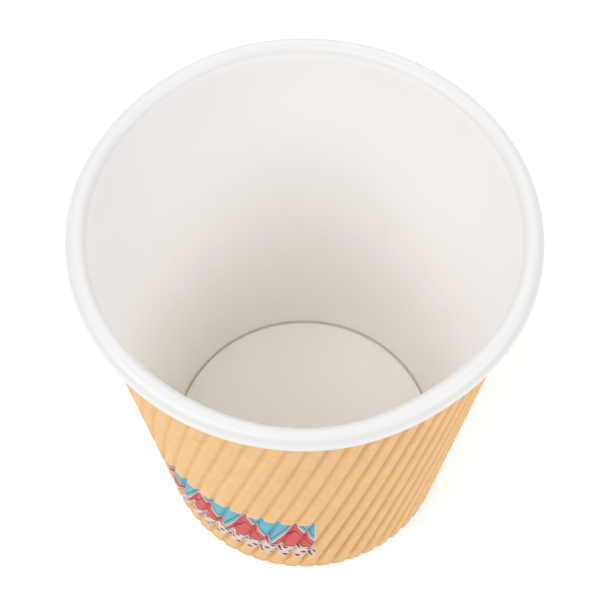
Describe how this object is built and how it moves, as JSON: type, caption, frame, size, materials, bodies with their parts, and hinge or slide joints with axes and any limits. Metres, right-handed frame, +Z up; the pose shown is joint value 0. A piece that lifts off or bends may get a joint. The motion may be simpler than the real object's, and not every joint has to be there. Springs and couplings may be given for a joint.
{
  "type": "paper coffee cup",
  "caption": "Tapered paper cup with a rolled rim, a recessed base and a kraft ripple wrap with slanting flutes and a printed band.",
  "frame": {"origin": "centre of the base, on the surface the cup stands on", "axes": "+Z up along the cup's axis; the cup's front, with its side seam and the print's right end, faces -Y"},
  "size_m": [0.08, 0.08, 0.088],
  "materials": {
    "white_paper": "semi-gloss coated board",
    "kraft_paper": "uncoated kraft with a printed band"
  },
  "bodies": {
    "root": {"cup_wall": "white_paper", "cup_bottom": "white_paper", "ripple_wrap": "kraft_paper"}
  },
  "joints": []
}
